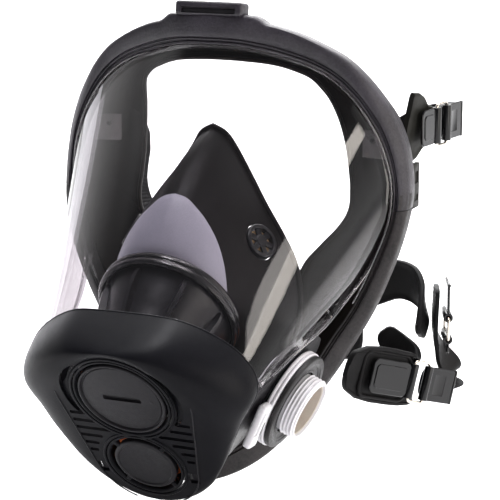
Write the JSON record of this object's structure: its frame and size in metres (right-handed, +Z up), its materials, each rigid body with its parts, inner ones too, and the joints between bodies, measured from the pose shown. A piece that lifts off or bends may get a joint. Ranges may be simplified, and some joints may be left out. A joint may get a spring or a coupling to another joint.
{
  "type": "full face respirator",
  "caption": "Full face respirator: clear wrap window in clamp frames, rubber seal, nose cup, speech and exhalation unit, threaded cheek ports, buckled head harness",
  "frame": {"origin": "in the symmetry plane inside the mask, behind the face seal, where the wearer's face is", "axes": "+Z up, the mask looks along -Y, +X is the wearer's left; symmetric about X=0 apart from how the upper straps lie"},
  "size_m": [0.1901, 0.2142, 0.2209],
  "materials": {
    "upper_lens_frame": "fine moulded grain",
    "lower_lens_frame": "fine moulded grain",
    "lens": "clear moulded polycarbonate window",
    "facepiece_skirt": "matt moulded rubber",
    "chin_cover": "satin",
    "speech_cap": "matt",
    "speech_cap_ring": "satin",
    "speech_diaphragm": "thin film",
    "exhalation_guard": "satin",
    "exhalation_valve_seat": "satin",
    "exhalation_valve": "orange silicone leaf",
    "front_housing": "satin",
    "speech_bell": "satin",
    "nose_cup": "satin silicone",
    "nose_cup_collar": "satin",
    "top_clip_bar": "fine moulded grain",
    "head_harness": "matt moulded rubber",
    "nose_cup_valve_seat_left": "tan moulded plastic",
    "nose_cup_valve_seat_right": "tan moulded plastic",
    "nose_cup_valve_left": "orange silicone leaf",
    "nose_cup_valve_right": "orange silicone leaf",
    "inhalation_connector_left": "white moulded plastic",
    "inhalation_connector_right": "white moulded plastic",
    "connector_gasket_left": "matt moulded rubber",
    "connector_gasket_right": "matt moulded rubber",
    "connector_nut_left": "white moulded plastic",
    "connector_nut_right": "white moulded plastic",
    "inhalation_valve_left": "tan moulded plastic",
    "inhalation_valve_right": "tan moulded plastic",
    "connector_lock_tab_left": "white moulded plastic",
    "connector_lock_tab_right": "white moulded plastic",
    "frame_clip_left": "olive-grey rubber",
    "frame_clip_right": "olive-grey rubber",
    "upper_lug_left": "olive-grey rubber",
    "upper_lug_right": "olive-grey rubber",
    "lower_lug_left": "matt moulded rubber",
    "lower_lug_right": "matt moulded rubber",
    "lower_strap_left": "matt moulded rubber",
    "lower_strap_right": "matt moulded rubber",
    "upper_strap_left": "matt moulded rubber",
    "upper_strap_right": "matt moulded rubber",
    "upper_left_buckle_plate": "glossy black enamel",
    "upper_left_wire_loop": "nickel-plated wire",
    "upper_left_finger_plate": "glossy black enamel",
    "upper_right_buckle_plate": "glossy black enamel",
    "upper_right_wire_loop": "nickel-plated wire",
    "upper_right_finger_plate": "glossy black enamel",
    "lower_left_buckle_plate": "glossy black enamel",
    "lower_left_wire_loop": "nickel-plated wire",
    "lower_left_finger_plate": "glossy black enamel",
    "lower_right_buckle_plate": "glossy black enamel",
    "lower_right_wire_loop": "nickel-plated wire",
    "lower_right_finger_plate": "glossy black enamel",
    "arm_left_buckle_plate": "glossy black enamel",
    "arm_left_wire_loop": "nickel-plated wire",
    "arm_left_finger_plate": "glossy black enamel",
    "arm_right_buckle_plate": "glossy black enamel",
    "arm_right_wire_loop": "nickel-plated wire",
    "arm_right_finger_plate": "glossy black enamel"
  },
  "bodies": {
    "mask": {"upper_lens_frame": "upper_lens_frame", "lower_lens_frame": "lower_lens_frame", "lens": "lens", "facepiece_skirt": "facepiece_skirt", "chin_cover": "chin_cover", "speech_cap_ring": "speech_cap_ring", "speech_diaphragm": "speech_diaphragm", "exhalation_guard": "exhalation_guard", "exhalation_valve_seat": "exhalation_valve_seat", "front_housing": "front_housing", "speech_bell": "speech_bell", "nose_cup": "nose_cup", "nose_cup_collar": "nose_cup_collar", "top_clip_bar": "top_clip_bar", "head_harness": "head_harness", "nose_cup_valve_seat_left": "nose_cup_valve_seat_left", "nose_cup_valve_seat_right": "nose_cup_valve_seat_right", "inhalation_connector_left": "inhalation_connector_left", "inhalation_connector_right": "inhalation_connector_right", "connector_gasket_left": "connector_gasket_left", "connector_gasket_right": "connector_gasket_right", "connector_nut_left": "connector_nut_left", "connector_nut_right": "connector_nut_right", "connector_lock_tab_left": "connector_lock_tab_left", "connector_lock_tab_right": "connector_lock_tab_right", "frame_clip_left": "frame_clip_left", "frame_clip_right": "frame_clip_right", "upper_lug_left": "upper_lug_left", "upper_lug_right": "upper_lug_right", "lower_lug_left": "lower_lug_left", "lower_lug_right": "lower_lug_right", "lower_strap_left": "lower_strap_left", "lower_strap_right": "lower_strap_right", "upper_strap_left": "upper_strap_left", "upper_strap_right": "upper_strap_right", "upper_left_buckle_plate": "upper_left_buckle_plate", "upper_right_buckle_plate": "upper_right_buckle_plate", "lower_left_buckle_plate": "lower_left_buckle_plate", "lower_right_buckle_plate": "lower_right_buckle_plate", "arm_left_buckle_plate": "arm_left_buckle_plate", "arm_right_buckle_plate": "arm_right_buckle_plate"},
    "speech_cap": {"speech_cap": "speech_cap"},
    "exhalation_valve": {"exhalation_valve": "exhalation_valve"},
    "inhalation_valve_left": {"inhalation_valve_left": "inhalation_valve_left"},
    "nose_cup_valve_left": {"nose_cup_valve_left": "nose_cup_valve_left"},
    "inhalation_valve_right": {"inhalation_valve_right": "inhalation_valve_right"},
    "nose_cup_valve_right": {"nose_cup_valve_right": "nose_cup_valve_right"},
    "upper_left_loop": {"upper_left_wire_loop": "upper_left_wire_loop"},
    "upper_left_finger": {"upper_left_finger_plate": "upper_left_finger_plate"},
    "lower_left_loop": {"lower_left_wire_loop": "lower_left_wire_loop"},
    "lower_left_finger": {"lower_left_finger_plate": "lower_left_finger_plate"},
    "arm_left_loop": {"arm_left_wire_loop": "arm_left_wire_loop"},
    "arm_left_finger": {"arm_left_finger_plate": "arm_left_finger_plate"},
    "upper_right_loop": {"upper_right_wire_loop": "upper_right_wire_loop"},
    "upper_right_finger": {"upper_right_finger_plate": "upper_right_finger_plate"},
    "lower_right_loop": {"lower_right_wire_loop": "lower_right_wire_loop"},
    "lower_right_finger": {"lower_right_finger_plate": "lower_right_finger_plate"},
    "arm_right_loop": {"arm_right_wire_loop": "arm_right_wire_loop"},
    "arm_right_finger": {"arm_right_finger_plate": "arm_right_finger_plate"}
  },
  "joints": [
    {"name": "speech_cap_turn", "type": "hinge", "parent": "mask", "child": "speech_cap", "pos_m": [0, -0.136, -0.0393], "axis": [0, -0.8536, -0.521], "range_deg": [0, 60]},
    {"name": "exhalation_valve_lift", "type": "slide", "parent": "mask", "child": "exhalation_valve", "axis": [0, -0.8536, -0.521], "range_m": [0, 0.0025], "stiffness_N_per_m": 40, "springref_m": -0.001},
    {"name": "inhalation_valve_left_lift", "type": "slide", "parent": "mask", "child": "inhalation_valve_left", "axis": [-0.9164, 0.02, 0.3997], "range_m": [0, 0.0025], "stiffness_N_per_m": 40, "springref_m": -0.001},
    {"name": "nose_cup_valve_left_lift", "type": "slide", "parent": "mask", "child": "nose_cup_valve_left", "axis": [-0.7998, 0.2999, -0.5199], "range_m": [0, 0.0015], "stiffness_N_per_m": 20, "springref_m": -0.001},
    {"name": "inhalation_valve_right_lift", "type": "slide", "parent": "mask", "child": "inhalation_valve_right", "axis": [0.9164, 0.02, 0.3997], "range_m": [0, 0.0025], "stiffness_N_per_m": 40, "springref_m": -0.001},
    {"name": "nose_cup_valve_right_lift", "type": "slide", "parent": "mask", "child": "nose_cup_valve_right", "axis": [0.7998, 0.2999, -0.5199], "range_m": [0, 0.0015], "stiffness_N_per_m": 20, "springref_m": -0.001},
    {"name": "upper_left_loop_swing", "type": "hinge", "parent": "mask", "child": "upper_left_loop", "pos_m": [0.08859, 0.0172, 0.0644], "axis": [0, 0, -1], "range_deg": [0, 35]},
    {"name": "upper_left_finger_swing", "type": "hinge", "parent": "upper_left_loop", "child": "upper_left_finger", "pos_m": [0.0898, 0.02813, 0.0644], "axis": [0, 0, -1], "range_deg": [0, 60]},
    {"name": "lower_left_loop_swing", "type": "hinge", "parent": "mask", "child": "lower_left_loop", "pos_m": [0.07952, 0.01331, -0.06058], "axis": [-0.1376, -0.2444, -0.9599], "range_deg": [0, 35]},
    {"name": "lower_left_finger_swing", "type": "hinge", "parent": "lower_left_loop", "child": "lower_left_finger", "pos_m": [0.08423, 0.02167, -0.06339], "axis": [-0.1376, -0.2444, -0.9599], "range_deg": [0, 60]},
    {"name": "arm_left_loop_swing", "type": "hinge", "parent": "mask", "child": "arm_left_loop", "pos_m": [0.0889, 0.0375, -0.0427], "axis": [-0.4061, 0.9138, 0], "range_deg": [0, 35]},
    {"name": "arm_left_finger_swing", "type": "hinge", "parent": "arm_left_loop", "child": "arm_left_finger", "pos_m": [0.0889, 0.0375, -0.0317], "axis": [-0.4061, 0.9138, 0], "range_deg": [0, 60]},
    {"name": "upper_right_loop_swing", "type": "hinge", "parent": "mask", "child": "upper_right_loop", "pos_m": [-0.08859, 0.0172, 0.0644], "axis": [0, 0, 1], "range_deg": [0, 35]},
    {"name": "upper_right_finger_swing", "type": "hinge", "parent": "upper_right_loop", "child": "upper_right_finger", "pos_m": [-0.0898, 0.02813, 0.0644], "axis": [0, 0, 1], "range_deg": [0, 60]},
    {"name": "lower_right_loop_swing", "type": "hinge", "parent": "mask", "child": "lower_right_loop", "pos_m": [-0.07952, 0.01331, -0.06058], "axis": [-0.1376, 0.2444, 0.9599], "range_deg": [0, 35]},
    {"name": "lower_right_finger_swing", "type": "hinge", "parent": "lower_right_loop", "child": "lower_right_finger", "pos_m": [-0.08423, 0.02167, -0.06339], "axis": [-0.1376, 0.2444, 0.9599], "range_deg": [0, 60]},
    {"name": "arm_right_loop_swing", "type": "hinge", "parent": "mask", "child": "arm_right_loop", "pos_m": [-0.0889, 0.0375, -0.0427], "axis": [-0.4061, -0.9138, 0], "range_deg": [0, 35]},
    {"name": "arm_right_finger_swing", "type": "hinge", "parent": "arm_right_loop", "child": "arm_right_finger", "pos_m": [-0.0889, 0.0375, -0.0317], "axis": [-0.4061, -0.9138, 0], "range_deg": [0, 60]}
  ]
}
